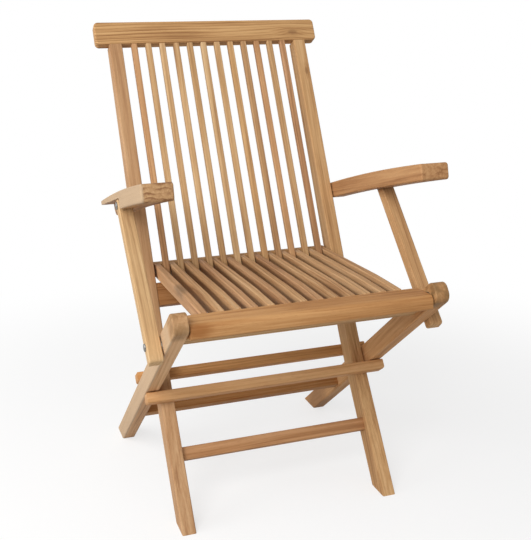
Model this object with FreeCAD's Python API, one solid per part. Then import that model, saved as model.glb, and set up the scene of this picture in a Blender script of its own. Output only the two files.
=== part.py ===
import FreeCAD, Part
import math
import os

# Folding slatted armchair in solid teak, open for use.
# Millimetres. +X is the sitter's left, -Y the front, +Z up.
# The origin is on the floor, at the middle of the whole chair.
#
# Long posts run from the crest rail at the back down to the front feet, and shorter
# legs run from the seat front down to the rear feet. They cross at the cross pins.
# The seat hinges on the tops of the legs, and its rear rail slides up behind the back:
# the seat slats pass between the back slats.
# Each arm hinges on a post and is carried by a strut that hinges on a leg.

# ---------------------------------------------------------------- posts and legs
frame_half_width = 212.0      # middle of the chair to the outer face of a post
post_thickness = 26.0
post_depth = 42.0
post_top_depth = 29.5
post_degrees_low = 34.1       # degrees back from upright, below the knee
post_degrees_top = 27.1       # degrees back from upright, above the knee
foot_to_cross = 265.9         # along the post, from the floor to the cross pin
cross_to_knee = 37.5
knee_to_top = 705.6
knee_radius = 900.0

leg_gap = 2.5                 # post to leg, filled by a washer at the cross pin
leg_thickness = 26.0
leg_depth = 37.5
rear_foot_to_cross = 358.6    # along the leg, from the floor to the cross pin
cross_to_seat_pivot = 338.7
leg_tip = 29.5                # from the seat pivot to the very end of the leg
leg_tip_radius = 15.0

# ---------------------------------------------------------------- back
crest_height = 48.0
crest_thickness = 22.0
crest_half_length = 238.5
crest_corner_radius = 8.5
crest_edge_radius = 3.0
crest_tenon_length = 24.0     # how far a post reaches up into the crest rail
crest_tenon_thickness = 11.0

back_slat_count = 12
back_slat_width = 12.0
back_slat_thickness = 11.0
back_slat_recess = 1.5        # slat face behind the post face
back_slat_housing = 9.0       # how far a slat goes into each rail

low_rail_bottom = 115.0       # above the knee, along the upper post
low_rail_height = 45.0
low_rail_thickness = 26.0
low_rail_recess = 1.0

# ---------------------------------------------------------------- cross rails
stop_rail_height = 20.0       # along the post
stop_rail_depth = 26.0
stop_gap = 0.2                # stop rail to the leg that it stops
stop_rail_rounding = 5.0      # its outer lower edge and the corners of its ends
stretcher_bottom = 119.8      # along the post, from the floor
stretcher_height = 24.5
stretcher_depth = 20.0
stretcher_front = 8.0         # its front face, ahead of the post's middle line
leg_low_rail_bottom = 184.0   # along the leg, from the floor
leg_low_rail_height = 26.0
leg_low_rail_depth = 27.0
leg_top_rail_drop = 42.7      # along the leg, down from the seat pivot to its top
leg_top_rail_height = 26.0
leg_top_rail_front = 8.0      # its two faces, ahead of and behind the leg's middle line
leg_top_rail_back = 16.0
tenon_length = 18.0
tenon_shoulder = 6.0          # left on each side of a rail's tenon
joint_clearance = 0.15        # tenon to mortise, on each side

# ---------------------------------------------------------------- seat
seat_rear_up = 232.5          # rear rail middle, along the upper post line from the cross pin
seat_rear_setback = 21.5      # and behind that line
seat_slat_count = 13
seat_side_gap = 4.3           # outermost slat to the post
seat_slat_width = 13.0
seat_slat_height = 25.0
seat_slat_top = 12.7          # above the pivot line
seat_slat_front_top = 9.3     # and where the slat meets the front rail
seat_slat_slope = 95.0        # length over which its top comes down to there
seat_slat_bend_radius = 400.0
seat_tenon_length = 8.0
seat_tenon_side = 2.5         # shoulder beside a slat's tenon
seat_tenon_top = 8.0          # and above and below it
seat_tenon_bottom = 6.0
seat_front_top = 8.5          # above the pivot line
seat_front_thickness = 26.0
seat_front_reach = 24.0       # front rail ahead of the pivot
seat_front_depth = 58.0
seat_front_gap = 2.0          # front rail end to the leg
seat_nose_radius = 11.0
seat_rear_thickness = 18.0
seat_rear_height = 25.0
seat_rear_gap = 2.5           # rear rail end to the post

# ---------------------------------------------------------------- arms and struts
arm_pivot_up = 357.6          # along the upper post line from the cross pin
arm_pivot_back = 1.3          # behind that line
arm_to_strut = 177.8          # arm pivot to the upper strut bolt
arm_rise_degrees = 1.3        # the arm's own line above the line through its bolts
arm_length = 406.0            # arm pivot to the front end
arm_tail = 20.0               # behind the pivot
arm_width = 53.0
arm_body_width = 26.5         # the full-depth part beside the post
arm_below = 16.0              # below and above its own line at the rear
arm_above = 16.0
arm_front_below = 13.0        # the same at the front end
arm_front_above = 16.5
arm_top_crown = 3.8           # rise of the top between its ends
arm_bottom_crown = 3.0        # and of the underside
arm_tail_radius = 28.0        # lower rear corner
arm_front_corner = 6.0        # front corners seen from the side
arm_rear_corner = 15.0        # outer rear corner seen from above
arm_strut_gap = 1.3           # strut's round top to the part of the arm over it
arm_step_ahead = 24.0         # from the strut bolt to where the arm is full depth
strut_thickness = 25.0
strut_depth = 22.0
strut_length = 277.6          # upper bolt to lower bolt
strut_pivot_up_leg = 256.8    # cross pin to the lower strut bolt, along the leg
strut_arm_gap = 1.5           # strut to arm body, filled by a washer
strut_tail = 31.0             # below the lower bolt
strut_top_radius = 10.5
strut_end_radius = 5.5

# ---------------------------------------------------------------- edges and hardware
edge_radius = 2.5
slat_edge_radius = 2.0
seat_edge_radius = 1.2        # ends of the seat's front and rear rails
arm_edge_radius = 3.0
pin_radius = 4.0
pin_fit = 0.06                # radial, pin to bore
pin_cover = 6.0               # wood left over the end of a hidden pin
head_radius = 6.8
head_height = 2.5
head_edge_radius = 1.5
bolt_into_wood = 18.0         # how far a bolt or pin goes into an arm or a rail
washer_radius = 9.0
washer_gap = 0.05             # each side of a washer
dowel_radius = 4.0
dowel_length = 30.0
dowel_spacing = 12.0
past_face = 1.0               # how far a bore or cut is carried past the face it opens

pi_degrees = math.pi / 180.0


# ---------------------------------------------------------------- side-view geometry
# Side points are pairs (y, z). A line of lean a rises up and back, a degrees from upright.
def lean_direction(degrees):
    return math.sin(degrees * pi_degrees), math.cos(degrees * pi_degrees)


def along(start, degrees, reach, aside=0.0):
    """The point at a distance up a leaning line, and aside to its rear."""
    dy, dz = lean_direction(degrees)
    return start[0] + reach * dy + aside * dz, start[1] + reach * dz - aside * dy


def crossing(p, p_degrees, q, q_degrees):
    """Where two leaning lines through p and q meet."""
    py, pz = lean_direction(p_degrees)
    qy, qz = lean_direction(q_degrees)
    t = ((q[0] - p[0]) * qz - (q[1] - p[1]) * qy) / (py * qz - pz * qy)
    return p[0] + t * py, p[1] + t * pz


def on_floor(p, degrees):
    """Where a leaning line through p meets the floor."""
    return crossing(p, degrees, (0.0, 0.0), 90.0)


def lean_between(p, q):
    return math.atan2(q[0] - p[0], q[1] - p[1]) / pi_degrees


def distance(p, q):
    return math.hypot(q[0] - p[0], q[1] - p[1])


def circles_meet(p, p_radius, q, q_radius):
    """The forward one of the two points at these distances from p and q."""
    gap = distance(p, q)
    t = (p_radius ** 2 - q_radius ** 2 + gap ** 2) / (2.0 * gap)
    side = math.sqrt(p_radius ** 2 - t ** 2)
    toward = lean_between(p, q)
    return min(along(p, toward, t, side), along(p, toward, t, -side))


# ---------------------------------------------------------------- fixed side-view points
cross_height = foot_to_cross * math.cos(post_degrees_low * pi_degrees)
cross_point = (0.0, cross_height)
leg_lean = -math.acos(cross_height / rear_foot_to_cross) / pi_degrees
knee_point = along(cross_point, post_degrees_low, cross_to_knee)
post_foot = along(cross_point, post_degrees_low, -foot_to_cross)
leg_foot = along(cross_point, leg_lean, -rear_foot_to_cross)
seat_pivot = along(cross_point, leg_lean, cross_to_seat_pivot)
strut_foot = along(cross_point, leg_lean, strut_pivot_up_leg)
arm_pivot = along(cross_point, post_degrees_top, arm_pivot_up, arm_pivot_back)
strut_top = circles_meet(arm_pivot, arm_to_strut, strut_foot, strut_length)
arm_lean = lean_between(arm_pivot, strut_top) + arm_rise_degrees
strut_lean = lean_between(strut_foot, strut_top)
seat_rear = along(cross_point, post_degrees_top, seat_rear_up, seat_rear_setback)
seat_length = distance(seat_pivot, seat_rear)
seat_lean = lean_between(seat_pivot, seat_rear)

# ---------------------------------------------------------------- planes across the chair
post_outer = frame_half_width
post_inner = post_outer - post_thickness
post_middle = post_outer - post_thickness / 2.0
leg_inner = post_outer + leg_gap
leg_outer = leg_inner + leg_thickness
arm_inner = leg_inner
arm_body_outer = arm_inner + arm_body_width
strut_inner = arm_body_outer + strut_arm_gap
strut_outer = strut_inner + strut_thickness
arm_outer = arm_inner + arm_width
front_face = -post_depth / 2.0          # aside from the post's middle line
rear_face = post_depth / 2.0
crest_bottom = knee_to_top - crest_height
slat_pitch = (2.0 * (post_inner - seat_side_gap) - seat_slat_width) / (seat_slat_count - 1)
low_rail_top = low_rail_bottom + low_rail_height
back_slat_front = front_face + back_slat_recess
leg_top_rail_top = cross_to_seat_pivot - leg_top_rail_drop
leg_top_rail_bottom = leg_top_rail_top - leg_top_rail_height
stretcher_back = stretcher_depth - stretcher_front


# ---------------------------------------------------------------- solids
def outline_edges(corners, x):
    """Straight edges with tangent arcs, from (point, radius) corners in order."""
    arcs = {}
    ends = []
    count = len(corners)
    for i in range(count):
        (y, z), radius = corners[i]
        y0, z0 = corners[i - 1][0]
        y1, z1 = corners[(i + 1) % count][0]
        here = FreeCAD.Vector(x, y, z)
        if radius <= 0.0:
            ends.append((here, here))
            continue
        back = (FreeCAD.Vector(x, y0, z0) - here).normalize()
        ahead = (FreeCAD.Vector(x, y1, z1) - here).normalize()
        half = math.acos(max(-1.0, min(1.0, back.dot(ahead)))) / 2.0
        start = here + back * (radius / math.tan(half))
        finish = here + ahead * (radius / math.tan(half))
        middle = here + (back + ahead).normalize() * (radius / math.sin(half) - radius)
        arcs[i] = Part.Arc(start, middle, finish).toShape()
        ends.append((start, finish))
    edges = []
    for i in range(count):
        if i in arcs:
            edges.append(arcs[i])
        leave = ends[i][1]
        arrive = ends[(i + 1) % count][0]
        if leave.distanceToPoint(arrive) > 1e-6:
            edges.append(Part.makeLine(leave, arrive))
    return edges


def slab(corners, x_from, x_to):
    """A side-view outline carried across the chair."""
    wire = Part.Wire(outline_edges(corners, x_from))
    return Part.Face(wire).extrude(FreeCAD.Vector(x_to - x_from, 0.0, 0.0))


def bar(start, degrees, low, high, aside_from, aside_to, x_from, x_to, radii=(0.0, 0.0, 0.0, 0.0)):
    """A bar beside a leaning line. Radii: low front, high front, high rear, low rear."""
    points = [
        along(start, degrees, low, aside_from),
        along(start, degrees, high, aside_from),
        along(start, degrees, high, aside_to),
        along(start, degrees, low, aside_to),
    ]
    return slab(list(zip(points, radii)), x_from, x_to)


def plate(start, degrees, low, high, aside_from, aside_to, half_length, low_radius, high_radius):
    """A board across the chair, with its lower and its upper end corners rounded."""
    board = bar(start, degrees, low, high, aside_from, aside_to, -half_length, half_length)
    middle = along(start, degrees, (low + high) / 2.0, (aside_from + aside_to) / 2.0)[1]

    def lower_corner(edge):
        return through(edge, aside_to - aside_from) and edge.CenterOfMass.z < middle

    def upper_corner(edge):
        return through(edge, aside_to - aside_from) and edge.CenterOfMass.z > middle

    return ease(ease(board, low_radius, lower_corner), high_radius, upper_corner)


def through(edge, thickness):
    """An edge that runs straight through a board's thickness."""
    return in_side_plane(edge) and abs(edge.Length - abs(thickness)) < 1e-3


def ease(solid, radius, keep):
    """Round the edges for which keep(edge) is true."""
    return solid.makeFillet(radius, [edge for edge in solid.Edges if keep(edge)])


def in_side_plane(edge):
    """An edge that lies in one plane across the chair."""
    return edge.BoundBox.XLength < 1e-4


def above_floor(edge):
    return in_side_plane(edge) and edge.BoundBox.ZMax > edge_radius


def rod(point, x_from, x_to, radius):
    """A round bar parallel to X."""
    start = FreeCAD.Vector(x_from, point[0], point[1])
    return Part.makeCylinder(radius, x_to - x_from, start, FreeCAD.Vector(1.0, 0.0, 0.0))


def bore(point, x_from, x_to):
    return rod(point, x_from, x_to, pin_radius + pin_fit)


def mirrored(solid):
    return solid.mirror(FreeCAD.Vector(0.0, 0.0, 0.0), FreeCAD.Vector(1.0, 0.0, 0.0))


def cut_all(solid, cutters):
    for cutter in cutters:
        solid = solid.cut(cutter)
    return solid


def slat_x(index, count):
    """Back and seat slats share one pitch and lie half a pitch aside of each other."""
    return (index - (count - 1) / 2.0) * slat_pitch


# ---------------------------------------------------------------- joinery
# Each tenon and its mortise come from one function, with and without the clearance.
def crest_tenon(clearance):
    middle = front_face + crest_thickness / 2.0
    half = crest_tenon_thickness / 2.0 + clearance
    return bar(
        knee_point, post_degrees_top, crest_bottom, crest_bottom + crest_tenon_length + clearance,
        middle - half, middle + half,
        post_inner + tenon_shoulder - clearance, post_outer - tenon_shoulder + clearance,
    )


def rail_tenon(start, degrees, low, high, aside_from, aside_to, x_face, clearance):
    shoulder = tenon_shoulder - clearance
    return bar(
        start, degrees, low + shoulder, high - shoulder, aside_from + shoulder, aside_to - shoulder,
        x_face, x_face + tenon_length + clearance,
    )


def low_rail_tenon(clearance):
    return rail_tenon(
        knee_point, post_degrees_top, low_rail_bottom, low_rail_top,
        front_face + low_rail_recess, front_face + low_rail_recess + low_rail_thickness,
        post_inner, clearance,
    )


def stretcher_tenon(clearance):
    return rail_tenon(
        post_foot, post_degrees_low, stretcher_bottom, stretcher_bottom + stretcher_height,
        -stretcher_front, stretcher_back, post_inner, clearance,
    )


def leg_low_rail_tenon(clearance):
    half = leg_low_rail_depth / 2.0
    return rail_tenon(
        leg_foot, leg_lean, leg_low_rail_bottom, leg_low_rail_bottom + leg_low_rail_height,
        -half, half, leg_inner, clearance,
    )


def leg_top_rail_tenon(clearance):
    return rail_tenon(
        cross_point, leg_lean, leg_top_rail_bottom, leg_top_rail_top,
        -leg_top_rail_front, leg_top_rail_back, leg_inner, clearance,
    )


def dowel(start_aside, along_post, x, radius, length):
    """A hidden dowel square to the lower post's face."""
    y, z = along(cross_point, post_degrees_low, along_post, start_aside)
    dy, dz = lean_direction(post_degrees_low)
    return Part.makeCylinder(radius, length, FreeCAD.Vector(x, y, z), FreeCAD.Vector(0.0, dz, -dy))


def stop_offset(aside):
    """Along the post, from the cross pin to the open leg's face at a depth aside."""
    open_angle = (post_degrees_low - leg_lean) * pi_degrees
    return (leg_depth / 2.0 - abs(aside) * math.cos(open_angle)) / math.sin(open_angle)


stop_near = post_depth / 2.0
stop_far = stop_near + stop_rail_depth
stop_start = max(stop_offset(stop_near), stop_offset(stop_far)) + stop_gap


def stop_dowels(radius, extra):
    """Two dowels through each post's face into each stop rail."""
    middle = stop_start + stop_rail_height / 2.0
    dowels = []
    for x in (post_middle - dowel_spacing / 2.0, post_middle + dowel_spacing / 2.0):
        inside = stop_near - dowel_length / 2.0 - extra
        outside = -stop_near - dowel_length / 2.0 - extra
        dowels.append(dowel(inside, middle, x, radius, dowel_length + 2.0 * extra))
        dowels.append(dowel(outside, -middle, x, radius, dowel_length + 2.0 * extra))
    return dowels


# ---------------------------------------------------------------- back frame
def post_outline():
    front_low = along(knee_point, post_degrees_low, 0.0, front_face)
    front_top = along(knee_point, post_degrees_top, 0.0, front_face)
    rear_low = along(knee_point, post_degrees_low, 0.0, rear_face)
    rear_start = along(knee_point, post_degrees_top, 0.0, rear_face)
    taper = (post_depth - post_top_depth) * crest_bottom / knee_to_top
    top_front = along(knee_point, post_degrees_top, crest_bottom, front_face)
    top_rear = along(knee_point, post_degrees_top, crest_bottom, rear_face - taper)
    rear_top_lean = lean_between(rear_start, top_rear)
    return [
        (on_floor(front_low, post_degrees_low), 0.0),
        (crossing(front_low, post_degrees_low, front_top, post_degrees_top), knee_radius),
        (top_front, 0.0),
        (top_rear, 0.0),
        (crossing(rear_low, post_degrees_low, rear_start, rear_top_lean), knee_radius),
        (on_floor(rear_low, post_degrees_low), 0.0),
    ]


def make_post():
    def long_edge(edge):
        return in_side_plane(edge) and edge.BoundBox.ZLength > post_depth

    post = ease(slab(post_outline(), post_inner, post_outer), edge_radius, long_edge)
    post = post.fuse(crest_tenon(0.0))
    mortises = [low_rail_tenon(joint_clearance), stretcher_tenon(joint_clearance)]
    bores = [
        bore(cross_point, post_inner + pin_cover, post_outer + past_face),
        bore(arm_pivot, post_inner + pin_cover, post_outer + past_face),
    ]
    return cut_all(post, mortises + bores + stop_dowels(dowel_radius + pin_fit, joint_clearance))


def make_crest():
    rail = plate(
        knee_point, post_degrees_top, crest_bottom, knee_to_top,
        front_face, front_face + crest_thickness, crest_half_length,
        crest_corner_radius, crest_corner_radius,
    )

    def outline(edge):
        return not through(edge, crest_thickness)

    rail = ease(rail, crest_edge_radius, outline)
    tenon = crest_tenon(joint_clearance)
    housings = [make_back_slat_blank(i, joint_clearance) for i in range(back_slat_count)]
    return cut_all(rail, [tenon, mirrored(tenon)] + housings)


def make_low_rail():
    front = front_face + low_rail_recess
    edge = edge_radius
    rail = bar(
        knee_point, post_degrees_top, low_rail_bottom, low_rail_top,
        front, front + low_rail_thickness, -post_inner, post_inner, (edge, edge, edge, edge),
    )
    tenon = low_rail_tenon(0.0)
    rail = rail.fuse([tenon, mirrored(tenon)]).removeSplitter()
    return cut_all(rail, [make_back_slat_blank(i, joint_clearance) for i in range(back_slat_count)])


def make_back_slat_blank(index, clearance):
    x = slat_x(index, back_slat_count)
    half = back_slat_width / 2.0 + clearance
    return bar(
        knee_point, post_degrees_top,
        low_rail_top - back_slat_housing - clearance, crest_bottom + back_slat_housing + clearance,
        back_slat_front - clearance, back_slat_front + back_slat_thickness + clearance,
        x - half, x + half,
    )


def make_back_slat(index):
    def long_edge(edge):
        return edge.Length > crest_bottom / 2.0

    return ease(make_back_slat_blank(index, 0.0), slat_edge_radius, long_edge)


def make_front_stretcher():
    edge = edge_radius
    rail = bar(
        post_foot, post_degrees_low, stretcher_bottom, stretcher_bottom + stretcher_height,
        -stretcher_front, stretcher_back, -post_inner, post_inner, (edge, edge, edge, edge),
    )
    tenon = stretcher_tenon(0.0)
    return rail.fuse([tenon, mirrored(tenon)]).removeSplitter()


def make_stop_rail(side):
    """A rail across both frames: side -1 in front of the posts, 1 behind them."""
    low = min(side * stop_start, side * (stop_start + stop_rail_height))
    inner = side * stop_near
    outer = side * stop_far
    rail = plate(
        cross_point, post_degrees_low, low, low + stop_rail_height, inner, outer, leg_outer,
        stop_rail_rounding, edge_radius,
    )
    shaped = bar(
        cross_point, post_degrees_low, low, low + stop_rail_height, min(inner, outer),
        max(inner, outer), -leg_outer, leg_outer,
        (stop_rail_rounding if side < 0 else edge_radius, edge_radius, edge_radius, edge_radius),
    )
    rail = rail.common(shaped)
    return cut_all(rail, stop_dowels(dowel_radius + pin_fit, joint_clearance) + [
        mirrored(hole) for hole in stop_dowels(dowel_radius + pin_fit, joint_clearance)
    ])


# ---------------------------------------------------------------- leg frame
def make_leg():
    half = leg_depth / 2.0
    tip = along(cross_point, leg_lean, cross_to_seat_pivot + leg_tip)
    leg = slab(
        [
            (on_floor(along(cross_point, leg_lean, 0.0, -half), leg_lean), 0.0),
            (along(tip, leg_lean, 0.0, -half), leg_tip_radius),
            (along(tip, leg_lean, 0.0, half), leg_tip_radius),
            (on_floor(along(cross_point, leg_lean, 0.0, half), leg_lean), 0.0),
        ],
        leg_inner, leg_outer,
    )
    leg = ease(leg, edge_radius, above_floor)
    mortises = [leg_low_rail_tenon(joint_clearance), leg_top_rail_tenon(joint_clearance)]
    bores = [
        bore(cross_point, leg_inner - past_face, leg_outer - pin_cover),
        bore(seat_pivot, leg_inner - past_face, leg_outer - pin_cover),
    ]
    return cut_all(leg, mortises + bores)


def make_leg_low_rail():
    half = leg_low_rail_depth / 2.0
    edge = edge_radius
    rail = bar(
        leg_foot, leg_lean, leg_low_rail_bottom, leg_low_rail_bottom + leg_low_rail_height,
        -half, half, -leg_inner, leg_inner, (edge, edge, edge, edge),
    )
    tenon = leg_low_rail_tenon(0.0)
    return rail.fuse([tenon, mirrored(tenon)]).removeSplitter()


def make_leg_top_rail():
    edge = edge_radius
    rail = bar(
        cross_point, leg_lean, leg_top_rail_bottom, leg_top_rail_top,
        -leg_top_rail_front, leg_top_rail_back, -leg_inner, leg_inner, (edge, edge, edge, edge),
    )
    tenon = leg_top_rail_tenon(0.0)
    return rail.fuse([tenon, mirrored(tenon)]).removeSplitter()


# ---------------------------------------------------------------- seat
# Seat places are (back from the pivot along the slats, up from the pivot line).
seat_front_back = seat_front_depth - seat_front_reach
seat_front_bottom = seat_front_top - seat_front_thickness
seat_slat_bottom = seat_slat_top - seat_slat_height
seat_rear_front = seat_length - seat_rear_thickness / 2.0


def seat_bar(back_from, back_to, up_from, up_to, x_from, x_to, radii=(0.0, 0.0, 0.0, 0.0)):
    """Radii: lower front, lower rear, upper rear, upper front."""
    return bar(seat_pivot, seat_lean, back_from, back_to, -up_from, -up_to, x_from, x_to, radii)


def seat_tenon(index, clearance):
    """The tenons at both ends of a seat slat, in one bar through it."""
    x = slat_x(index, seat_slat_count)
    half = seat_slat_width / 2.0 - seat_tenon_side + clearance
    return seat_bar(
        seat_front_back - seat_tenon_length - clearance,
        seat_rear_front + seat_tenon_length + clearance,
        seat_slat_bottom + seat_tenon_bottom - clearance, seat_slat_top - seat_tenon_top + clearance,
        x - half, x + half,
    )


def seat_mortises():
    return [seat_tenon(i, joint_clearance) for i in range(seat_slat_count)]


def make_seat_front_rail():
    half = leg_inner - seat_front_gap
    rail = seat_bar(
        -seat_front_reach, seat_front_back, seat_front_bottom, seat_front_top, -half, half,
        (seat_nose_radius / 2.0, edge_radius, edge_radius, seat_nose_radius),
    )
    rail = ease(rail, seat_edge_radius, in_side_plane)
    bores = [bore(seat_pivot, half - bolt_into_wood, half + past_face)]
    return cut_all(rail, seat_mortises() + bores + [mirrored(hole) for hole in bores])


def make_seat_rear_rail():
    half = post_inner - seat_rear_gap
    edge = edge_radius * 2.0
    rail = seat_bar(
        seat_rear_front, seat_rear_front + seat_rear_thickness,
        seat_slat_top - seat_rear_height, seat_slat_top, -half, half, (edge, edge, edge, edge),
    )
    rail = ease(rail, seat_edge_radius, in_side_plane)
    return cut_all(rail, seat_mortises())


def make_seat_slat(index):
    """The slat's top is level, then slopes gently down to the front rail."""
    def place(back, up):
        return along(seat_pivot, seat_lean, back, -up)

    outline = [
        (place(seat_front_back, seat_slat_bottom), 0.0),
        (place(seat_rear_front, seat_slat_bottom), 0.0),
        (place(seat_rear_front, seat_slat_top), slat_edge_radius),
        (place(seat_front_back + seat_slat_slope, seat_slat_top), seat_slat_bend_radius),
        (place(seat_front_back, seat_slat_front_top), slat_edge_radius),
    ]
    x = slat_x(index, seat_slat_count)
    slat = slab(outline, x - seat_slat_width / 2.0, x + seat_slat_width / 2.0)

    def top_or_bottom_edge(edge):
        return in_side_plane(edge) and edge.BoundBox.YLength > seat_slat_slope / 2.0

    slat = ease(slat, slat_edge_radius, top_or_bottom_edge)
    return slat.fuse(seat_tenon(index, 0.0)).removeSplitter()


# ---------------------------------------------------------------- arms and struts
# Arm places are (ahead of the arm pivot, up from the arm's own line).
arm_middle = (arm_length - arm_tail) / 2.0
arm_strut_ceiling = strut_depth / 2.0 + arm_strut_gap - arm_to_strut * math.sin(arm_rise_degrees * pi_degrees)


def arm_point(ahead, up):
    return along(arm_pivot, arm_lean, ahead, up)


def crowned_middle(rear_up, front_up, crown):
    """A corner halfway along the arm whose tangent arc rises by the crown, and its radius."""
    reach = (arm_length + arm_tail) / 2.0
    up = (rear_up + front_up) / 2.0 + 2.0 * crown
    return arm_point(arm_middle, up), (reach - arm_tail_radius) * reach / (2.0 * crown)


def make_arm():
    up_y, up_z = lean_direction(arm_lean - 90.0)
    up = FreeCAD.Vector(0.0, -up_y, -up_z)

    def long_edge(edge):
        return in_side_plane(edge) and edge.Length > arm_length / 2.0

    arm = slab(
        [
            (arm_point(-arm_tail, -arm_below), arm_tail_radius),
            crowned_middle(-arm_below, -arm_front_below, arm_bottom_crown),
            (arm_point(arm_length, -arm_front_below), arm_front_corner),
            (arm_point(arm_length, arm_front_above), arm_front_corner),
            crowned_middle(arm_above, arm_front_above, arm_top_crown),
            (arm_point(-arm_tail, arm_above), 0.0),
        ],
        arm_inner, arm_outer,
    )
    arm = ease(arm, arm_edge_radius, long_edge)
    step = arm_to_strut + arm_step_ahead
    clear = arm_outer - arm_inner
    rebate = slab(
        [
            (arm_point(-arm_tail - clear, -clear), 0.0),
            (arm_point(step, -clear), 0.0),
            (arm_point(step, arm_strut_ceiling), 2.0 * arm_edge_radius),
            (arm_point(-arm_tail - clear, arm_strut_ceiling), 0.0),
        ],
        arm_body_outer, arm_outer + past_face,
    )
    corner = bar(
        arm_pivot, arm_lean, -arm_tail - past_face, arm_rear_corner - arm_tail,
        -clear, clear, arm_outer - arm_rear_corner, arm_outer + past_face,
    )
    centre_y, centre_z = arm_point(arm_rear_corner - arm_tail, -clear)
    centre = FreeCAD.Vector(arm_outer - arm_rear_corner, centre_y, centre_z)
    corner = corner.cut(Part.makeCylinder(arm_rear_corner, 2.0 * clear, centre, up))
    bores = [
        bore(arm_pivot, arm_inner - past_face, arm_body_outer - pin_cover),
        bore(strut_top, arm_body_outer - bolt_into_wood, arm_body_outer + past_face),
    ]
    return cut_all(arm, [rebate, corner] + bores)


def make_strut():
    half = strut_depth / 2.0
    strut = bar(
        strut_foot, strut_lean, -strut_tail, strut_length + half, -half, half,
        strut_inner, strut_outer,
        (strut_end_radius, strut_top_radius, strut_top_radius, strut_end_radius),
    )
    strut = ease(strut, edge_radius, in_side_plane)
    bores = [
        bore(strut_top, strut_inner - past_face, strut_outer + past_face),
        bore(strut_foot, strut_inner - past_face, strut_outer + past_face),
    ]
    return cut_all(strut, bores)


# ---------------------------------------------------------------- hardware
def hidden_pin(point, x_from, x_to):
    return rod(point, x_from, x_to, pin_radius)


def headed_bolt(point, x_from, x_face):
    """A bolt with a domed head on a face that looks outward."""
    head = rod(point, x_face, x_face + head_height, head_radius)

    def rim(edge):
        return in_side_plane(edge) and edge.BoundBox.XMin > x_face + head_height / 2.0

    head = ease(head, head_edge_radius, rim)
    return hidden_pin(point, x_from, x_face).fuse(head).removeSplitter()


def washer(point, x_from, x_to):
    ring = rod(point, x_from + washer_gap, x_to - washer_gap, washer_radius)
    return ring.cut(bore(point, x_from - past_face, x_to + past_face))


# ---------------------------------------------------------------- the chair
def right_and_left(nodes, name, solid):
    """The +X piece is on the sitter's left."""
    nodes[name + "_left"] = solid
    nodes[name + "_right"] = mirrored(solid)


def pair(solids):
    """Fasteners of one kind on both sides, as separate solids of one group."""
    return Part.makeCompound(solids + [mirrored(solid) for solid in solids])


def numbered(name, index):
    return "%s_%02d" % (name, index + 1)


def make_chair():
    nodes = {}
    right_and_left(nodes, "post", make_post())
    nodes["crest_rail"] = make_crest()
    nodes["lower_back_rail"] = make_low_rail()
    for i in range(back_slat_count):
        nodes[numbered("back_slat", i)] = make_back_slat(i)
    nodes["front_stretcher"] = make_front_stretcher()
    nodes["front_stop_rail"] = make_stop_rail(-1)
    nodes["rear_stop_rail"] = make_stop_rail(1)
    nodes["stop_rail_dowels"] = pair(stop_dowels(dowel_radius, 0.0))

    right_and_left(nodes, "rear_leg", make_leg())
    nodes["leg_lower_stretcher"] = make_leg_low_rail()
    nodes["leg_upper_stretcher"] = make_leg_top_rail()

    nodes["seat_front_rail"] = make_seat_front_rail()
    nodes["seat_rear_rail"] = make_seat_rear_rail()
    for i in range(seat_slat_count):
        nodes[numbered("seat_slat", i)] = make_seat_slat(i)

    right_and_left(nodes, "arm", make_arm())
    right_and_left(nodes, "strut", make_strut())

    seat_end = leg_inner - seat_front_gap
    nodes["cross_pins"] = pair([
        hidden_pin(cross_point, post_inner + pin_cover, leg_outer - pin_cover),
    ])
    nodes["cross_washers"] = pair([washer(cross_point, post_outer, leg_inner)])
    nodes["arm_pins"] = pair([
        hidden_pin(arm_pivot, post_inner + pin_cover, arm_body_outer - pin_cover),
    ])
    nodes["arm_washers"] = pair([washer(arm_pivot, post_outer, arm_inner)])
    nodes["seat_pins"] = pair([
        hidden_pin(seat_pivot, seat_end - bolt_into_wood, leg_outer - pin_cover),
    ])
    nodes["seat_washers"] = pair([washer(seat_pivot, seat_end, leg_inner)])
    top_bolt = headed_bolt(strut_top, arm_body_outer - bolt_into_wood, strut_outer)
    right_and_left(nodes, "strut_top_bolt", top_bolt)
    right_and_left(nodes, "strut_top_washer", washer(strut_top, arm_body_outer, strut_inner))
    right_and_left(nodes, "strut_foot_bolt", headed_bolt(strut_foot, strut_inner, strut_outer))
    nodes["strut_foot_washers"] = pair([washer(strut_foot, leg_outer, strut_inner)])
    return nodes


def centre_shift(nodes):
    """Moves the middle of the whole chair's floor outline to the origin."""
    box = Part.makeCompound(list(nodes.values())).optimalBoundingBox(False, False)
    return FreeCAD.Vector(0.0, -box.Center.y, 0.0)


def main():
    nodes = make_chair()
    shift = centre_shift(nodes)
    os.makedirs("parts", exist_ok=True)
    for name, shape in nodes.items():
        shape.translate(shift)
        shape.exportStep("parts/%s.step" % name)


main()
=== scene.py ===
# Folding teak armchair: teak and steel finishes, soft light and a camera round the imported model.
import math
import random
import bpy
from mathutils import Matrix, Vector


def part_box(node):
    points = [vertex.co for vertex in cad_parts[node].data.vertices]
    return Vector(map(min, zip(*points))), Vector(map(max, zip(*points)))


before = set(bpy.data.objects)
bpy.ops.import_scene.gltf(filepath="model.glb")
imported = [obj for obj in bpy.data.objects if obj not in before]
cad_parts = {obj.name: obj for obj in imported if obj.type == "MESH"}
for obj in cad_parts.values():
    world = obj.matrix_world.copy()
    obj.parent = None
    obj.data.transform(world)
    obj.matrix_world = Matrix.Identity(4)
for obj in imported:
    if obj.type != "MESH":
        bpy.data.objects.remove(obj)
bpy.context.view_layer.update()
print("frame loaded:", len(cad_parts), "nodes")


# helpers for node trees

def linear(red, green, blue):
    # screen colour 0..255 to the linear colour that shaders use
    def channel(value):
        value = value / 255.0
        return value / 12.92 if value <= 0.04045 else ((value + 0.055) / 1.055) ** 2.4
    return (channel(red), channel(green), channel(blue), 1.0)


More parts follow.
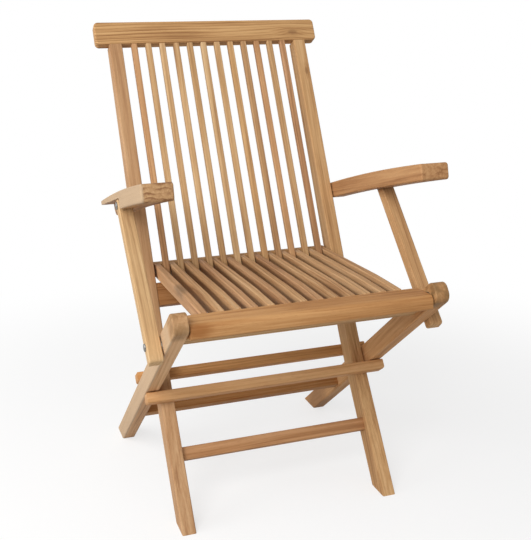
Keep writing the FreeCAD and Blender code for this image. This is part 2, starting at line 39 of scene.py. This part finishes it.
def addNode(tree, kind, **settings):
    node = tree.nodes.new(kind)
    for name, value in settings.items():
        setattr(node, name, value)
    return node


def put(tree, value, socket):
    # a number or vector goes on the socket, an output is linked to it
    if isinstance(value, bpy.types.NodeSocket):
        tree.links.new(value, socket)
    else:
        socket.default_value = value


def maths(tree, operation, first, second=0.0, third=None):
    node = addNode(tree, "ShaderNodeMath", operation=operation)
    put(tree, first, node.inputs[0])
    put(tree, second, node.inputs[1])
    if third is not None:
        put(tree, third, node.inputs[2])
    return node.outputs[0]


def times(tree, first, second):
    return maths(tree, "MULTIPLY", first, second)


def addTo(tree, total, value, weight):
    return maths(tree, "MULTIPLY_ADD", value, weight, total)


def vectorMaths(tree, operation, first, second=(0.0, 0.0, 0.0)):
    node = addNode(tree, "ShaderNodeVectorMath", operation=operation)
    put(tree, first, node.inputs[0])
    put(tree, second, node.inputs["Scale"] if operation == "SCALE" else node.inputs[1])
    return node.outputs["Value"] if operation == "LENGTH" else node.outputs["Vector"]


def noise(tree, vector, stretch, detail, roughness, output="Fac"):
    # stretch is how many ripples fit in a metre, along the grain and across it
    scaled = vectorMaths(tree, "MULTIPLY", vector, stretch)
    node = addNode(tree, "ShaderNodeTexNoise", noise_dimensions="3D")
    put(tree, scaled, node.inputs["Vector"])
    node.inputs["Scale"].default_value = 1.0
    node.inputs["Detail"].default_value = detail
    node.inputs["Roughness"].default_value = roughness
    return node.outputs[output]


def spread(tree, value, low, high, toLow=0.0, toHigh=1.0, smooth=True):
    node = addNode(tree, "ShaderNodeMapRange", clamp=True)
    node.interpolation_type = "SMOOTHSTEP" if smooth else "LINEAR"
    put(tree, value, node.inputs["Value"])
    put(tree, low, node.inputs["From Min"])
    put(tree, high, node.inputs["From Max"])
    put(tree, toLow, node.inputs["To Min"])
    put(tree, toHigh, node.inputs["To Max"])
    return node.outputs["Result"]


def blendColor(tree, factor, first, second):
    node = addNode(tree, "ShaderNodeMix", data_type="RGBA")
    put(tree, factor, node.inputs[0])
    put(tree, first, node.inputs[6])
    put(tree, second, node.inputs[7])
    return node.outputs[2]


def addBump(tree, surface, height, strength, distance):
    bump = addNode(tree, "ShaderNodeBump")
    bump.inputs["Strength"].default_value = strength
    bump.inputs["Distance"].default_value = distance
    tree.links.new(height, bump.inputs["Height"])
    tree.links.new(bump.outputs["Normal"], surface.inputs["Normal"])


# teak figure, as in a board sawn from a log: X is along the grain, rings lie round that axis

figure = {
    "ringsPerMetre": 165.0,  # growth rings across the board
    "unevenness": 2.6,       # how far rings shift from even widths, in rings
    "ringRise": 2.4,         # power by which a ring darkens towards its end
    "knotSwell": 2.6,        # how far rings bend round a knot, in sizes of the knot
    "knotFade": 0.16,        # how fast that bend fades away from the knot
    "wander": 0.020,         # how far the grain strays, metres
    "waver": 0.0024,         # how far single fibres stray, metres
    "highlightPlain": 0.8,         # how much of the rings is lost under the painted highlight
    "tipBare": 0.9,          # how much of the painted highlight is lost at a brown end
    "gapShadeSlope": 0.018,      # how much higher the painted gap shade starts further back
    "smallest": 0.00001,     # keeps a board without a knot, a stain or a spot of painted shade from dividing by zero
}

# noises: ripples in a metre along the grain and across it, detail, roughness
ripples = {
    "stray": (2.2, 9.0, 1.0, 0.5),
    "waver": (7.0, 60.0, 2.0, 0.55),
    "uneven": (0.9, 42.0, 1.0, 0.5),
    "ringTone": (1.4, 55.0, 1.0, 0.5),
    "fibre": (16.0, 640.0, 3.0, 0.62),
    "streak": (4.0, 150.0, 2.0, 0.6),
    "pore": (75.0, 1500.0, 1.0, 0.5),
    "cloud": (3.2, 20.0, 2.0, 0.5),
    "mottle": (40.0, 55.0, 2.0, 0.5),
    "knotEdge": (60.0, 120.0, 2.0, 0.5),
    "stainAndShadeEdge": (50.0, 120.0, 2.0, 0.55),
}

# spans: where a value starts and where it ends, and what the mask is at both
spans = {
    "ringEnd": (0.84, 1.0, 1.0, 0.0),     # in parts of a ring
    "ringTone": (0.32, 0.64, 0.05, 1.0),
    "pore": (0.62, 0.75, 0.0, 1.0),
    "mottle": (0.36, 0.64, 0.6, 1.15),
    "heart": (0.55, 1.25, 1.0, 0.0),      # in sizes of the knot
    "halo": (1.0, 3.6, 1.0, 0.0),         # in sizes of the knot
    "stainAndShade": (0.35, 1.45, 1.0, 0.0),      # in sizes of the stain, the same for a spot of painted shade
    "toBody": (0.0, 0.5, 0.0, 1.0),       # darkness, from pale wood to the body's tone
    "toDark": (0.5, 1.2, 0.0, 1.0),       # darkness, from the body's tone to the dark one
}

# knots, stains and spots of painted shade: a knot's line runs through the board, a stain, like a shade spot,
# is twice as long along the grain
spotShapes = {
    "Knot": {"stretch": (0.36, 1.0, 0.0), "edge": "knotEdge", "ragged": 0.7},
    "StainAndShade": {"stretch": (0.5, 1.0, 1.0), "edge": "stainAndShadeEdge", "ragged": 0.8},
}

# what each mask adds to how dark, how rough and how high the wood is
weights = {
    "dark": {"base": 0.36, "ring": 0.95, "fibre": 0.96, "streak": 1.61, "cloud": 1.20, "halo": 0.30},
    "rough": {"base": 0.64, "ring": 0.06, "fibre": 0.08, "pore": 0.08},
    "high": {"base": 0.775, "ring": -0.35, "fibre": 0.35, "pore": -0.9},
}

# layers over the wood's own tones, in order: strength and colour, where a name is an input of the group
layers = {
    # painted highlight: a pale band on the outer faces that are turned to the side light
    "paintedHighlight": (0.75, (194, 168, 137)),
    # painted shade in the gaps between the seat's slats
    "gapShade": (0.62, (88, 56, 34)),
    # brown ends of the rear legs; on the back slats this is painted shade at their lower ends
    "tip": ("Tip Blend", (138, 104, 66)),
    # real stains, and painted shade at one rear foot
    "stainAndShade": (0.72, "Stain Tone"),
    "pore": (0.40, "Dark"),
    "heart": (0.42, (104, 66, 40)),
}

teakFinish = {"bump": 0.30, "bumpDepth": 0.00015, "specular": 0.22}

# inputs of the group: a board without the painted highlight, painted gap shade or a brown end has that band
# far away
numbersIn = {"Rings": 1.0, "Figure": 1.0, "Clouds": 1.0, "Wander": 1.0, "Knot Size": 0.0,
             "StainAndShade Size": 0.0, "Tip Blend": 0.5}
for band in ("PaintedHighlight", "GapShade", "Tip"):
    numbersIn.update({band + " From": -100.0, band + " To": -100.1})


def addSocket(group, name, way, kind):
    return group.interface.new_socket(name, in_out=way, socket_type="NodeSocket" + kind)


def grainNoise(group, vector, name, output="Fac"):
    along, across, detail, roughness = ripples[name]
    return noise(group, vector, (along, across, across), detail, roughness, output)


def swing(group, vector, name):
    # the same noise about zero
    return maths(group, "SUBTRACT", grainNoise(group, vector, name), 0.5)


def strayBy(group, vector, name, reach):
    stray = vectorMaths(group, "SUBTRACT", grainNoise(group, vector, name, "Color"), (0.5, 0.5, 0.5))
    return vectorMaths(group, "SCALE", stray, reach)


def farFrom(group, start, spot):
    # distance from a knot, a stain and a spot of painted shade alike, in sizes of it, with a ragged edge
    shape = spotShapes[spot]
    grain = start.outputs["Grain"]
    away = vectorMaths(group, "SUBTRACT", grain, start.outputs[spot])
    away = vectorMaths(group, "LENGTH", vectorMaths(group, "MULTIPLY", away, shape["stretch"]))
    away = maths(group, "DIVIDE", away,
                 maths(group, "MAXIMUM", start.outputs[spot + " Size"], figure["smallest"]))
    return addTo(group, away, swing(group, grain, shape["edge"]), shape["ragged"])


def bandMasks(group, start, wavering):
    # painted highlight past a line across the board, painted gap shade below a seat slat's top edges, brown
    # leg ends, painted shade at back slats' ends
    across = addNode(group, "ShaderNodeSeparateXYZ")
    put(group, wavering, across.inputs[0])
    level = addTo(group, across.outputs[2], across.outputs[0], figure["gapShadeSlope"])
    places = {"PaintedHighlight": across.outputs[1], "GapShade": level, "Tip": across.outputs[0]}
    paintedHighlight, gapShade, tip = (spread(group, place, start.outputs[band + " From"], start.outputs[band + " To"])
                      for band, place in places.items())
    plain = addTo(group, 1.0, paintedHighlight, -figure["highlightPlain"])
    mottle = spread(group, grainNoise(group, start.outputs["Grain"], "mottle"), *spans["mottle"])
    masks = {"paintedHighlight": times(group, paintedHighlight, addTo(group, 1.0, tip, -figure["tipBare"])), "gapShade": gapShade,
             "tip": times(group, tip, mottle)}
    return masks, plain


def growthRings(group, start, bent, knotAway, plain):
    # the rings swell round a knot
    swell = addTo(group, 1.0, maths(group, "POWER", knotAway, 2.0), figure["knotFade"])
    swell = maths(group, "DIVIDE", 1.0, swell)
    radius = vectorMaths(group, "LENGTH", vectorMaths(group, "MULTIPLY", bent, (0.0, 1.0, 1.0)))
    radius = addTo(group, radius, swell, times(group, start.outputs["Knot Size"], figure["knotSwell"]))
    turns = times(group, times(group, radius, figure["ringsPerMetre"]), start.outputs["Rings"])
    turns = addTo(group, turns, grainNoise(group, bent, "uneven"), figure["unevenness"])
    # each ring darkens slowly, then ends sharply
    phase = maths(group, "FRACT", turns)
    rise = maths(group, "POWER", phase, figure["ringRise"])
    ring = times(group, rise, spread(group, phase, *spans["ringEnd"]))
    ring = times(group, ring, spread(group, grainNoise(group, bent, "ringTone"), *spans["ringTone"]))
    return times(group, ring, times(group, start.outputs["Figure"], plain))


def weigh(group, masks, kind):
    # the base, and every mask times its weight
    total = weights[kind]["base"]
    for name, weight in weights[kind].items():
        if name != "base":
            total = addTo(group, total, masks[name], weight)
    return total


def makeTeakGroup():
    group = bpy.data.node_groups.new("teakFigure", "ShaderNodeTree")
    for name in ("Grain", "Knot", "StainAndShade"):
        addSocket(group, name, "INPUT", "Vector")
    for name, value in numbersIn.items():
        addSocket(group, name, "INPUT", "Float").default_value = value
    for name in ("Pale", "Body", "Dark", "Stain Tone"):
        addSocket(group, name, "INPUT", "Color")
    for name, kind in (("Color", "Color"), ("Roughness", "Float"), ("Height", "Float")):
        addSocket(group, name, "OUTPUT", kind)
    start = addNode(group, "NodeGroupInput")
    end = addNode(group, "NodeGroupOutput")

    # the grain strays a little from the board's own line
    grain = start.outputs["Grain"]
    stray = strayBy(group, grain, "stray", times(group, start.outputs["Wander"], figure["wander"]))
    waver = strayBy(group, grain, "waver", figure["waver"])
    bent = vectorMaths(group, "ADD", vectorMaths(group, "ADD", grain, stray), waver)

    knotAway = farFrom(group, start, "Knot")
    masks, plain = bandMasks(group, start, vectorMaths(group, "ADD", grain, waver))
    masks["heart"] = spread(group, knotAway, *spans["heart"])
    masks["halo"] = spread(group, knotAway, *spans["halo"])
    masks["stainAndShade"] = spread(group, farFrom(group, start, "StainAndShade"), *spans["stainAndShade"])
    masks["ring"] = growthRings(group, start, bent, knotAway, plain)
    masks["fibre"] = swing(group, bent, "fibre")
    masks["streak"] = swing(group, bent, "streak")
    masks["pore"] = spread(group, grainNoise(group, bent, "pore"), *spans["pore"])
    masks["cloud"] = times(group, swing(group, grain, "cloud"), start.outputs["Clouds"])

    dark = weigh(group, masks, "dark")
    toBody = spread(group, dark, *spans["toBody"], smooth=False)
    toDark = spread(group, dark, *spans["toDark"], smooth=False)
    color = blendColor(group, toBody, start.outputs["Pale"], start.outputs["Body"])
    color = blendColor(group, toDark, color, start.outputs["Dark"])
    for name, (strength, over) in layers.items():
        strength = start.outputs[strength] if isinstance(strength, str) else strength
        over = start.outputs[over] if isinstance(over, str) else linear(*over)
        color = blendColor(group, times(group, masks[name], strength), color, over)
    group.links.new(color, end.inputs["Color"])
    group.links.new(weigh(group, masks, "rough"), end.inputs["Roughness"])
    group.links.new(weigh(group, masks, "high"), end.inputs["Height"])
    return group


teakGroup = makeTeakGroup()
print("teak figure made")

# each board's tone: pale wood, body and dark lines of the rings
tones = {
    "straw": ((214, 178, 131), (200, 159, 110), (160, 116, 73)),
    "honey": ((207, 168, 119), (190, 147, 98), (147, 104, 63)),
    "golden": ((204, 160, 107), (185, 139, 88), (141, 96, 55)),
    "amber": ((200, 152, 103), (181, 131, 85), (136, 90, 52)),
    "tan": ((201, 158, 111), (182, 138, 92), (138, 94, 58)),
    "russet": ((196, 148, 105), (176, 127, 84), (131, 86, 52)),
}


def leaning(degrees):
    # the line that the grain of a leaning piece follows: rearwards and up
    angle = math.radians(degrees)
    return (0.0, math.sin(angle), math.cos(angle))


grainLines = {
    "across": (1.0, 0.0, 0.0),
    "post": leaning(27.4),
    "slat": leaning(27.1),
    "leg": leaning(-52.1),
    "seat": leaning(91.6),
    "arm": leaning(-76.0),
    "strut": leaning(43.5),
}

# where in the log each board was sawn, in degrees: 0 has straight lines on its front, 90 on its sides
sawnAt = {"across": 0.0, "post": 10.0, "slat": 20.0, "leg": 15.0, "seat": 10.0, "arm": 84.0, "strut": 15.0}

# how boards differ at random
firstSeed = 100
chance = {
    "angle": (-18.0, 18.0),  # degrees added to the place in the log
    "turned": (0.0, 180.0),  # degrees, for one half of the log or the other
    "pith": (0.07, 0.16),    # metres from the middle of the log
    "along": (-3.0, 3.0),    # metres along the log
    "rings": (0.75, 1.25),   # times the usual number of rings
    "clouds": (0.8, 1.3),    # times the usual strength of the clouds
    "level": (-4.0, 4.0),    # levels of colour, 0..255
}

# piece: tone, grain line, how strongly the rings show
boards = {
    "post_left": ("honey", "post", 0.7),
    "post_right": ("honey", "post", 0.4),
    "crest_rail": ("golden", "across", 1.3),
    "lower_back_rail": ("tan", "across", 0.9),
    "front_stretcher": ("russet", "across", 0.8),
    "front_stop_rail": ("straw", "across", 0.9),
    "rear_stop_rail": ("tan", "across", 0.8),
    "rear_leg_left": ("honey", "leg", 0.7),
    "rear_leg_right": ("honey", "leg", 0.7),
    "leg_lower_stretcher": ("honey", "across", 0.8),
    "leg_upper_stretcher": ("honey", "across", 0.8),
    "seat_front_rail": ("golden", "across", 0.35),
    "seat_rear_rail": ("honey", "across", 0.8),
    "arm_left": ("amber", "arm", 0.5),
    "arm_right": ("tan", "arm", 1.6),
    "strut_left": ("honey", "strut", 0.7),
    "strut_right": ("straw", "strut", 0.7),
    "stop_rail_dowels": ("straw", "post", 0.7),
}
slatTones = ("amber", "honey", "honey", "honey", "honey", "straw", "honey", "golden", "tan", "amber",
             "honey", "russet")
seatTones = ("tan", "honey", "honey", "tan", "honey", "tan", "honey", "tan", "honey", "honey", "straw",
             "straw", "honey")

# boards that differ from the rest: "shift" changes the colour and "angle" is the place in the log; the pair
# of depths for the painted highlight says where it starts and is full, in metres from the outer face, and
# "tip" the same for a brown leg end and for painted shade at a back slat's lower end, in metres from the end;
# the others go to the group's inputs of those names
special = {
    "crest_rail": {"shift": (7, 8, 9), "Rings": 1.2},
    "post_right": {"shift": (-4, -4, 4), "Clouds": 0.5},
    "post_left": {"shift": (8, 7, 8)},
    "arm_left": {"shift": (-3, 0, 3), "angle": 90.0, "Rings": 0.7, "Wander": 0.9},
    # the pale band on arm_right's outer face is a painted highlight from the side light
    "arm_right": {"shift": (-5, -1, 3), "angle": 90.0, "Rings": 0.7, "Wander": 0.9,
                  "paintedHighlight": (0.0060, 0.0028)},
    "strut_right": {"shift": (1, 5, 8)},
    "strut_left": {"shift": (9, 8, 10)},
    "seat_front_rail": {"shift": (-3, -8, -7)},
    # rear_stop_rail, leg_lower_stretcher and lower_back_rail sit in shadow under the seat: their redder, more
    # saturated shifts are painted warm shade, and the last two are darkened as painted shade
    "rear_stop_rail": {"shift": (18, 9, 0)},
    "front_stop_rail": {"shift": (0, -10, -12)},
    "leg_lower_stretcher": {"shift": (-13, -23, -25)},
    "lower_back_rail": {"shift": (-17, -25, -26)},
    "rear_leg_left": {"shift": (11, 2, 0), "tip": (0.050, 0.022), "Tip Blend": 0.85},
    # the pale band on rear_leg_right's outer face is a painted highlight from the side light
    "rear_leg_right": {"shift": (15, 12, 16), "tip": (0.050, 0.022), "Tip Blend": 0.65,
                       "paintedHighlight": (0.0055, 0.0020)},
}
for number, tone in enumerate(slatTones, start=1):
    slat = "back_slat_%02d" % number
    boards[slat] = (tone, "slat", 0.8)
    # painted shade: the back slats darken towards their lower ends
    special[slat] = {"shift": (4, 6, 9), "tip": (0.20, 0.06), "Tip Blend": 0.24}
for number, tone in enumerate(seatTones, start=1):
    slat = "seat_slat_%02d" % number
    boards[slat] = (tone, "seat", 0.9)
    special[slat] = {"shift": (0, 0, 5)}

# painted shade in the gaps, on the sides of the seat's slats: where it starts and is full, in metres below
# the top edge. The outermost slat on the right has none, because its side is open to the light
gapShadeBand = {"depths": (0.0058, 0.0112), "fromX": -0.16}

# stains, and one spot of painted shade: piece, place on it in metres, half its width, colour
stainsAndShade = {
    "seat_front_rail": ((-0.199, -0.314, 0.426), 0.0115, (146, 90, 42)),
    "seat_slat_01": ((-0.182, -0.112, 0.436), 0.0165, (124, 98, 72)),
    # painted shade at this rear foot, near the floor
    "rear_leg_left": ((0.214, 0.212, 0.030), 0.0350, (152, 110, 74)),
}

# knots: piece, place on it in metres, size of the dark heart
knots = {
    "post_left": ((0.203, 0.204, 0.805), 0.0030),
    "crest_rail": ((0.186, 0.000, 0.862), 0.0045),
}


def bandPlaces(name, low, own, turn, offset):
    # the painted highlight, brown ends, painted shade at back slats' ends and painted gap shade lie at set
    # depths from the piece's own faces
    points = [turn @ vertex.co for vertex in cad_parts[name].data.vertices]
    ends = [point.x for point in points]
    rearwards = turn[0][1] > 0.0
    bands = {
        "PaintedHighlight": [low[0] + inset + offset.y for inset in own.pop("paintedHighlight", ())],
        "Tip": [(min(ends) + inset if rearwards else max(ends) - inset) + offset.x
                for inset in own.pop("tip", ())],
    }
    if name.startswith("seat_slat") and low[0] > gapShadeBand["fromX"]:
        # the painted gap shade climbs towards the rear, so its level takes in the place along the log
        way = 1.0 if turn[2][2] < 0.0 else -1.0
        top = min(way * point.z for point in points)
        bands["GapShade"] = [way * (top + inset) + offset.z for inset in gapShadeBand["depths"]]
    return bands


def makeTeak(name, tone, line, ringStrength, seed):
    draw = random.Random(seed)
    material = bpy.data.materials.new("teak_" + name)
    material.use_nodes = True
    tree = material.node_tree
    tree.nodes.clear()
    output = addNode(tree, "ShaderNodeOutputMaterial")
    surface = addNode(tree, "ShaderNodeBsdfPrincipled")
    tree.links.new(surface.outputs[0], output.inputs[0])
    place = addNode(tree, "ShaderNodeTexCoord")
    mapping = addNode(tree, "ShaderNodeMapping", vector_type="POINT")
    tree.links.new(place.outputs["Object"], mapping.inputs["Vector"])
    along = Vector(grainLines[line]).normalized()
    side = Vector((1.0, 0.0, 0.0)) if line != "across" else Vector((0.0, 0.0, 1.0))
    turn = Matrix((along, side, along.cross(side).normalized()))
    mapping.inputs["Rotation"].default_value = turn.to_euler("XYZ")
    # where in the log the board was sawn: how far from the pith, and at what angle
    own = dict(special.get(name, {}))
    degrees = sawnAt[line] + draw.uniform(*chance["angle"]) + draw.choice(chance["turned"])
    angle = math.radians(own.pop("angle", degrees))
    reach = draw.uniform(*chance["pith"])
    low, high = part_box(name)
    middle = turn @ ((Vector(low) + Vector(high)) * 0.5)
    centre = Vector((draw.uniform(*chance["along"]), reach * math.cos(angle), reach * math.sin(angle)))
    offset = centre - middle
    mapping.inputs["Location"].default_value = offset
    wood = addNode(tree, "ShaderNodeGroup", node_tree=teakGroup)
    tree.links.new(mapping.outputs["Vector"], wood.inputs["Grain"])
    wood.inputs["Rings"].default_value = draw.uniform(*chance["rings"])
    wood.inputs["Figure"].default_value = ringStrength
    wood.inputs["Clouds"].default_value = draw.uniform(*chance["clouds"])
    tint = own.pop("shift", (0, 0, 0))
    climb = Vector((0.0, 0.0, figure["gapShadeSlope"] * centre.x))
    for kind, places in bandPlaces(name, low, own, turn, offset + climb).items():
        for socket, value in zip((kind + " From", kind + " To"), places):
            wood.inputs[socket].default_value = value
    for socket, value in own.items():
        wood.inputs[socket].default_value = value
    if name in knots:
        spot, size = knots[name]
        wood.inputs["Knot"].default_value = turn @ Vector(spot) + offset
        wood.inputs["Knot Size"].default_value = size
    if name in stainsAndShade:
        spot, size, color = stainsAndShade[name]
        wood.inputs["StainAndShade"].default_value = turn @ Vector(spot) + offset
        wood.inputs["StainAndShade Size"].default_value = size
        wood.inputs["Stain Tone"].default_value = linear(*color)
    lighter = draw.uniform(*chance["level"])
    for socket, color in zip(("Pale", "Body", "Dark"), tones[tone]):
        levels = [level + lighter + more for level, more in zip(color, tint)]
        wood.inputs[socket].default_value = linear(*levels)
    tree.links.new(wood.outputs["Color"], surface.inputs["Base Color"])
    tree.links.new(wood.outputs["Roughness"], surface.inputs["Roughness"])
    addBump(tree, surface, wood.outputs["Height"], teakFinish["bump"], teakFinish["bumpDepth"])
    surface.inputs["Specular IOR Level"].default_value = teakFinish["specular"]
    return material


# steel of bolts, pins and washers: light scuffs and dull patches

steelFinish = {
    "color": (150, 148, 144),
    "dull": 0.62,                                # times the colour in dull patches
    "roughness": 0.34,
    "scuffRoughness": 0.22,                      # what scuffs add to it
    "scuffs": ((90.0, 900.0, 900.0), 3.0, 0.6),  # ripples in a metre, detail, roughness
    "patches": ((160.0, 160.0, 160.0), 2.0, 0.5),
    "patchSpan": (0.35, 0.65),
    "bump": 0.12,
    "bumpDepth": 0.0003,
}


def makeSteel():
    material = bpy.data.materials.new("brushedSteel")
    material.use_nodes = True
    tree = material.node_tree
    surface = tree.nodes["Principled BSDF"]
    place = addNode(tree, "ShaderNodeTexCoord")
    scuff = noise(tree, place.outputs["Object"], *steelFinish["scuffs"])
    patch = noise(tree, place.outputs["Object"], *steelFinish["patches"])
    bright = linear(*steelFinish["color"])
    dull = tuple(part * steelFinish["dull"] for part in bright[:3]) + (1.0,)
    blend = spread(tree, patch, *steelFinish["patchSpan"])
    put(tree, blendColor(tree, blend, bright, dull), surface.inputs["Base Color"])
    put(tree, addTo(tree, steelFinish["roughness"], scuff, steelFinish["scuffRoughness"]),
        surface.inputs["Roughness"])
    surface.inputs["Metallic"].default_value = 1.0
    addBump(tree, surface, scuff, steelFinish["bump"], steelFinish["bumpDepth"])
    return material


steel = makeSteel()
for number, name in enumerate(sorted(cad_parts)):
    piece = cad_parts[name]
    material = makeTeak(name, *boards[name], firstSeed + number) if name in boards else steel
    if not piece.material_slots:
        piece.data.materials.append(material)
    for slot in piece.material_slots:
        slot.material = material
print("materials given to", len(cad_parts), "nodes")


# floor, light and background

stageSettings = {
    "reach": 30.0,        # half the floor's width, metres
    "floorSeen": 0.97,    # the floor's colour as the camera sees it
    "floorBounce": 0.58,  # the same for the light that it throws on the chair
    "fadeNear": 0.68,     # how far the floor under the chair is turned to plain white
    "fadeFrom": 0.6,      # metres from the middle where it starts to turn fully white
    "fadeTo": 1.5,        # metres from the middle where it has
    "world": 0.43,        # the world's light on the chair
}


def seenDirectly(tree):
    # 1 for what the camera sees, also by reflection or through glass, and 0 for light on the chair
    path = addNode(tree, "ShaderNodeLightPath")
    seen = maths(tree, "MAXIMUM", path.outputs["Is Camera Ray"], path.outputs["Is Glossy Ray"])
    return maths(tree, "MAXIMUM", seen, path.outputs["Is Transmission Ray"])


def makeFloor():
    reach = stageSettings["reach"]
    mesh = bpy.data.meshes.new("floor")
    corners = [(-reach, -reach, 0.0), (reach, -reach, 0.0), (reach, reach, 0.0), (-reach, reach, 0.0)]
    mesh.from_pydata(corners, [], [(0, 1, 2, 3)])
    floor = bpy.data.objects.new("floor", mesh)
    bpy.context.collection.objects.link(floor)
    material = bpy.data.materials.new("paleFloor")
    material.use_nodes = True
    tree = material.node_tree
    tree.nodes.clear()
    output = addNode(tree, "ShaderNodeOutputMaterial")
    matte = addNode(tree, "ShaderNodeBsdfDiffuse")
    white = addNode(tree, "ShaderNodeEmission")
    mix = addNode(tree, "ShaderNodeMixShader")
    place = addNode(tree, "ShaderNodeTexCoord")
    away = vectorMaths(tree, "LENGTH", place.outputs["Object"])
    fade = spread(tree, away, stageSettings["fadeFrom"], stageSettings["fadeTo"],
                  stageSettings["fadeNear"], 1.0)
    seen = seenDirectly(tree)
    put(tree, times(tree, fade, seen), mix.inputs[0])
    put(tree, spread(tree, seen, 0.0, 1.0, stageSettings["floorBounce"], stageSettings["floorSeen"],
                     smooth=False), matte.inputs["Color"])
    tree.links.new(matte.outputs[0], mix.inputs[1])
    tree.links.new(white.outputs[0], mix.inputs[2])
    tree.links.new(mix.outputs[0], output.inputs[0])
    mesh.materials.append(material)


def makeWorld():
    world = bpy.data.worlds.new("paleStudio")
    bpy.context.scene.world = world
    world.use_nodes = True
    tree = world.node_tree
    tree.nodes.clear()
    output = addNode(tree, "ShaderNodeOutputWorld")
    sky = addNode(tree, "ShaderNodeBackground")
    sky.inputs["Color"].default_value = (1.0, 1.0, 1.0, 1.0)
    put(tree, spread(tree, seenDirectly(tree), 0.0, 1.0, stageSettings["world"], 1.0, smooth=False),
        sky.inputs["Strength"])
    tree.links.new(sky.outputs[0], output.inputs[0])


# places and sizes in metres, power in watts
lampAim = (0.0, 0.0, 0.4)
lamps = {
    "key": {"place": (-1.6, -2.0, 2.0), "size": 1.7, "power": 61.0},
    "side": {"place": (-2.2, 0.2, 1.3), "size": 1.6, "power": 20.0},
}


def makeLamp(name, place, size, power):
    data = bpy.data.lights.new(name, "AREA")
    data.shape = "SQUARE"
    data.size = size
    data.energy = power
    lamp = bpy.data.objects.new(name, data)
    bpy.context.collection.objects.link(lamp)
    lamp.location = place
    aim = Vector(lampAim) - Vector(place)
    lamp.rotation_euler = aim.to_track_quat("-Z", "Y").to_euler()


makeFloor()
makeWorld()
for lampName, settings in lamps.items():
    makeLamp(lampName, **settings)
print("floor, world and lamps set")


# camera, placed from the pin where posts and legs cross

cameraSettings = {
    "fromPin": (-0.53012, -1.57938, 0.67752),  # from the crossing pin, metres
    "right": (0.9446307, -0.32787366, -0.01310333),
    "up": (0.10081849, 0.25200192, 0.96246074),
    "forward": (0.31226346, 0.91049102, -0.27110447),
    "lens": 61.282,
    "sensor": 36.0,
    "near": 0.05,
    "far": 100.0,
}


def makeCamera():
    data = bpy.data.cameras.new("camera")
    data.sensor_fit = "HORIZONTAL"
    data.sensor_width = cameraSettings["sensor"]
    data.lens = cameraSettings["lens"]
    data.clip_start = cameraSettings["near"]
    data.clip_end = cameraSettings["far"]
    camera = bpy.data.objects.new("camera", data)
    bpy.context.collection.objects.link(camera)
    low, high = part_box("cross_pins")
    pin = Vector((0.0, (low[1] + high[1]) * 0.5, (low[2] + high[2]) * 0.5))
    back = -Vector(cameraSettings["forward"])
    turn = Matrix((cameraSettings["right"], cameraSettings["up"], back)).transposed()
    camera.matrix_world = Matrix.Translation(pin + Vector(cameraSettings["fromPin"])) @ turn.to_4x4()
    bpy.context.scene.camera = camera


makeCamera()
bpy.context.scene.view_settings.view_transform = "Standard"
print("camera set")
